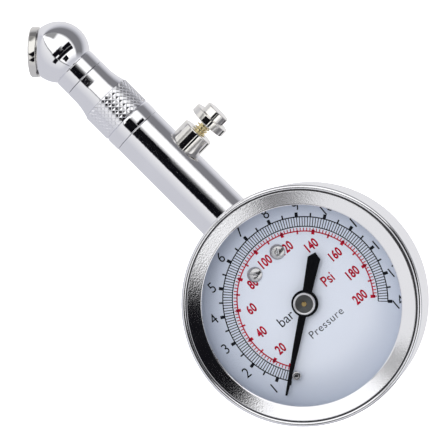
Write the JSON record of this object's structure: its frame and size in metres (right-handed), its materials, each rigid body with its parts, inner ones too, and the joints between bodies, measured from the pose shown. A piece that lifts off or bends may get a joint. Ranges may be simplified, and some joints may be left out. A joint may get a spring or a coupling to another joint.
{
  "type": "tyre pressure gauge",
  "caption": "Hand-held dial gauge for tyre pressure: round metal case, straight stem with a bleed button, knurled collar and a swivelling ball chuck.",
  "frame": {"origin": "centre of the case's flat back, on the dial's axis", "axes": "+Z out of the dial, +Y along the stem to the chuck, +X towards the bleed valve"},
  "size_m": [0.0614, 0.13, 0.024],
  "materials": {
    "brushed_metal": "satin bright plating",
    "bezel_metal": "finely turned bright plating",
    "chrome": "mirror plating",
    "valve_nickel": "bright nickel",
    "screw_steel": "plain steel",
    "lens": "clear, polished",
    "gasket_rubber": "matt",
    "seal_rubber": "matt",
    "dial_print": "matt pale enamel with printed scales",
    "pointer_black": "matt black",
    "hub_metal": "bright rim, dark centre",
    "brass": "machined",
    "spring_brass": "drawn",
    "tube_bronze": "drawn bronze"
  },
  "bodies": {
    "case": {"case": "brushed_metal", "case_screws": "screw_steel", "bezel": "bezel_metal", "lens": "lens", "lens_gasket": "gasket_rubber", "dial": "dial_print", "dial_screws": "screw_steel", "stop_pin": "screw_steel", "socket_block": "brass", "bourdon_tube": "tube_bronze", "movement_bottom_plate": "brass", "movement_top_plate": "brass", "movement_pillars": "brass", "pillar_screws": "screw_steel", "movement_screws": "screw_steel", "hairspring": "tube_bronze", "stem": "chrome", "stem_seal": "seal_rubber", "bleed_body": "valve_nickel", "bleed_gasket": "seal_rubber", "bleed_spring": "spring_brass", "collar": "chrome", "collar_seal": "seal_rubber"},
    "pointer_arbor": {"pinion": "brass", "pointer": "pointer_black", "pointer_hub": "hub_metal"},
    "sector": {"sector_gear": "brass", "sector_arbor": "screw_steel", "tail_pin": "screw_steel"},
    "tube_tip": {"bourdon_tip": "brass"},
    "link": {"link": "screw_steel"},
    "bleed_plunger": {"bleed_button": "valve_nickel", "bleed_pin": "spring_brass", "bleed_seal": "seal_rubber"},
    "chuck": {"chuck_head": "chrome", "swivel_oring": "seal_rubber", "swivel_clip": "screw_steel", "chuck_seal": "seal_rubber", "chuck_cap": "chrome", "depressor_spring": "screw_steel"},
    "depressor": {"depressor_pin": "spring_brass"}
  },
  "joints": [
    {"name": "pointer_turn", "type": "hinge", "parent": "case", "child": "pointer_arbor", "pos_m": [0, 0, 0.01], "axis": [0, 0, -1], "range_deg": [0, 261], "stiffness_Nm_per_rad": 0.000001, "springref_deg": -17.19, "deforming": ["hairspring"]},
    {"name": "sector_turn", "type": "hinge", "parent": "case", "child": "sector", "pos_m": [-0.01101, -0.00781, 0.008], "axis": [0, 0, 1], "range_deg": [0, 33]},
    {"name": "tube_flex", "type": "hinge", "parent": "case", "child": "tube_tip", "pos_m": [0.006, -0.0074, 0.01], "axis": [0, 0, 1], "range_deg": [0, 6.2], "deforming": ["bourdon_tube"]},
    {"name": "link_swing", "type": "hinge", "parent": "tube_tip", "child": "link", "pos_m": [-0.01561, -0.00154, 0.0085], "axis": [0, 0, 1], "range_deg": [-1.6, 0.2]},
    {"name": "bleed_press", "type": "slide", "parent": "case", "child": "bleed_plunger", "axis": [-1, 0, 0], "range_m": [0, 0.0018], "stiffness_N_per_m": 400, "springref_m": -0.002, "deforming": ["bleed_spring"]},
    {"name": "chuck_swivel", "type": "hinge", "parent": "case", "child": "chuck", "pos_m": [0, 0.076, 0.01], "axis": [0, 1, 0], "continuous": true},
    {"name": "depressor_press", "type": "slide", "parent": "chuck", "child": "depressor", "axis": [0.7071, -0.7071, 0], "range_m": [0, 0.0012], "stiffness_N_per_m": 300, "springref_m": -0.002, "deforming": ["depressor_spring"]}
  ],
  "couplings": [
    {"joint": "sector_turn", "follows": "pointer_turn", "ratio": 0.125},
    {"joint": "tube_flex", "follows": "pointer_turn", "ratio": 0.02318},
    {"joint": "link_swing", "follows": "pointer_turn", "ratio": -0.0054085}
  ]
}
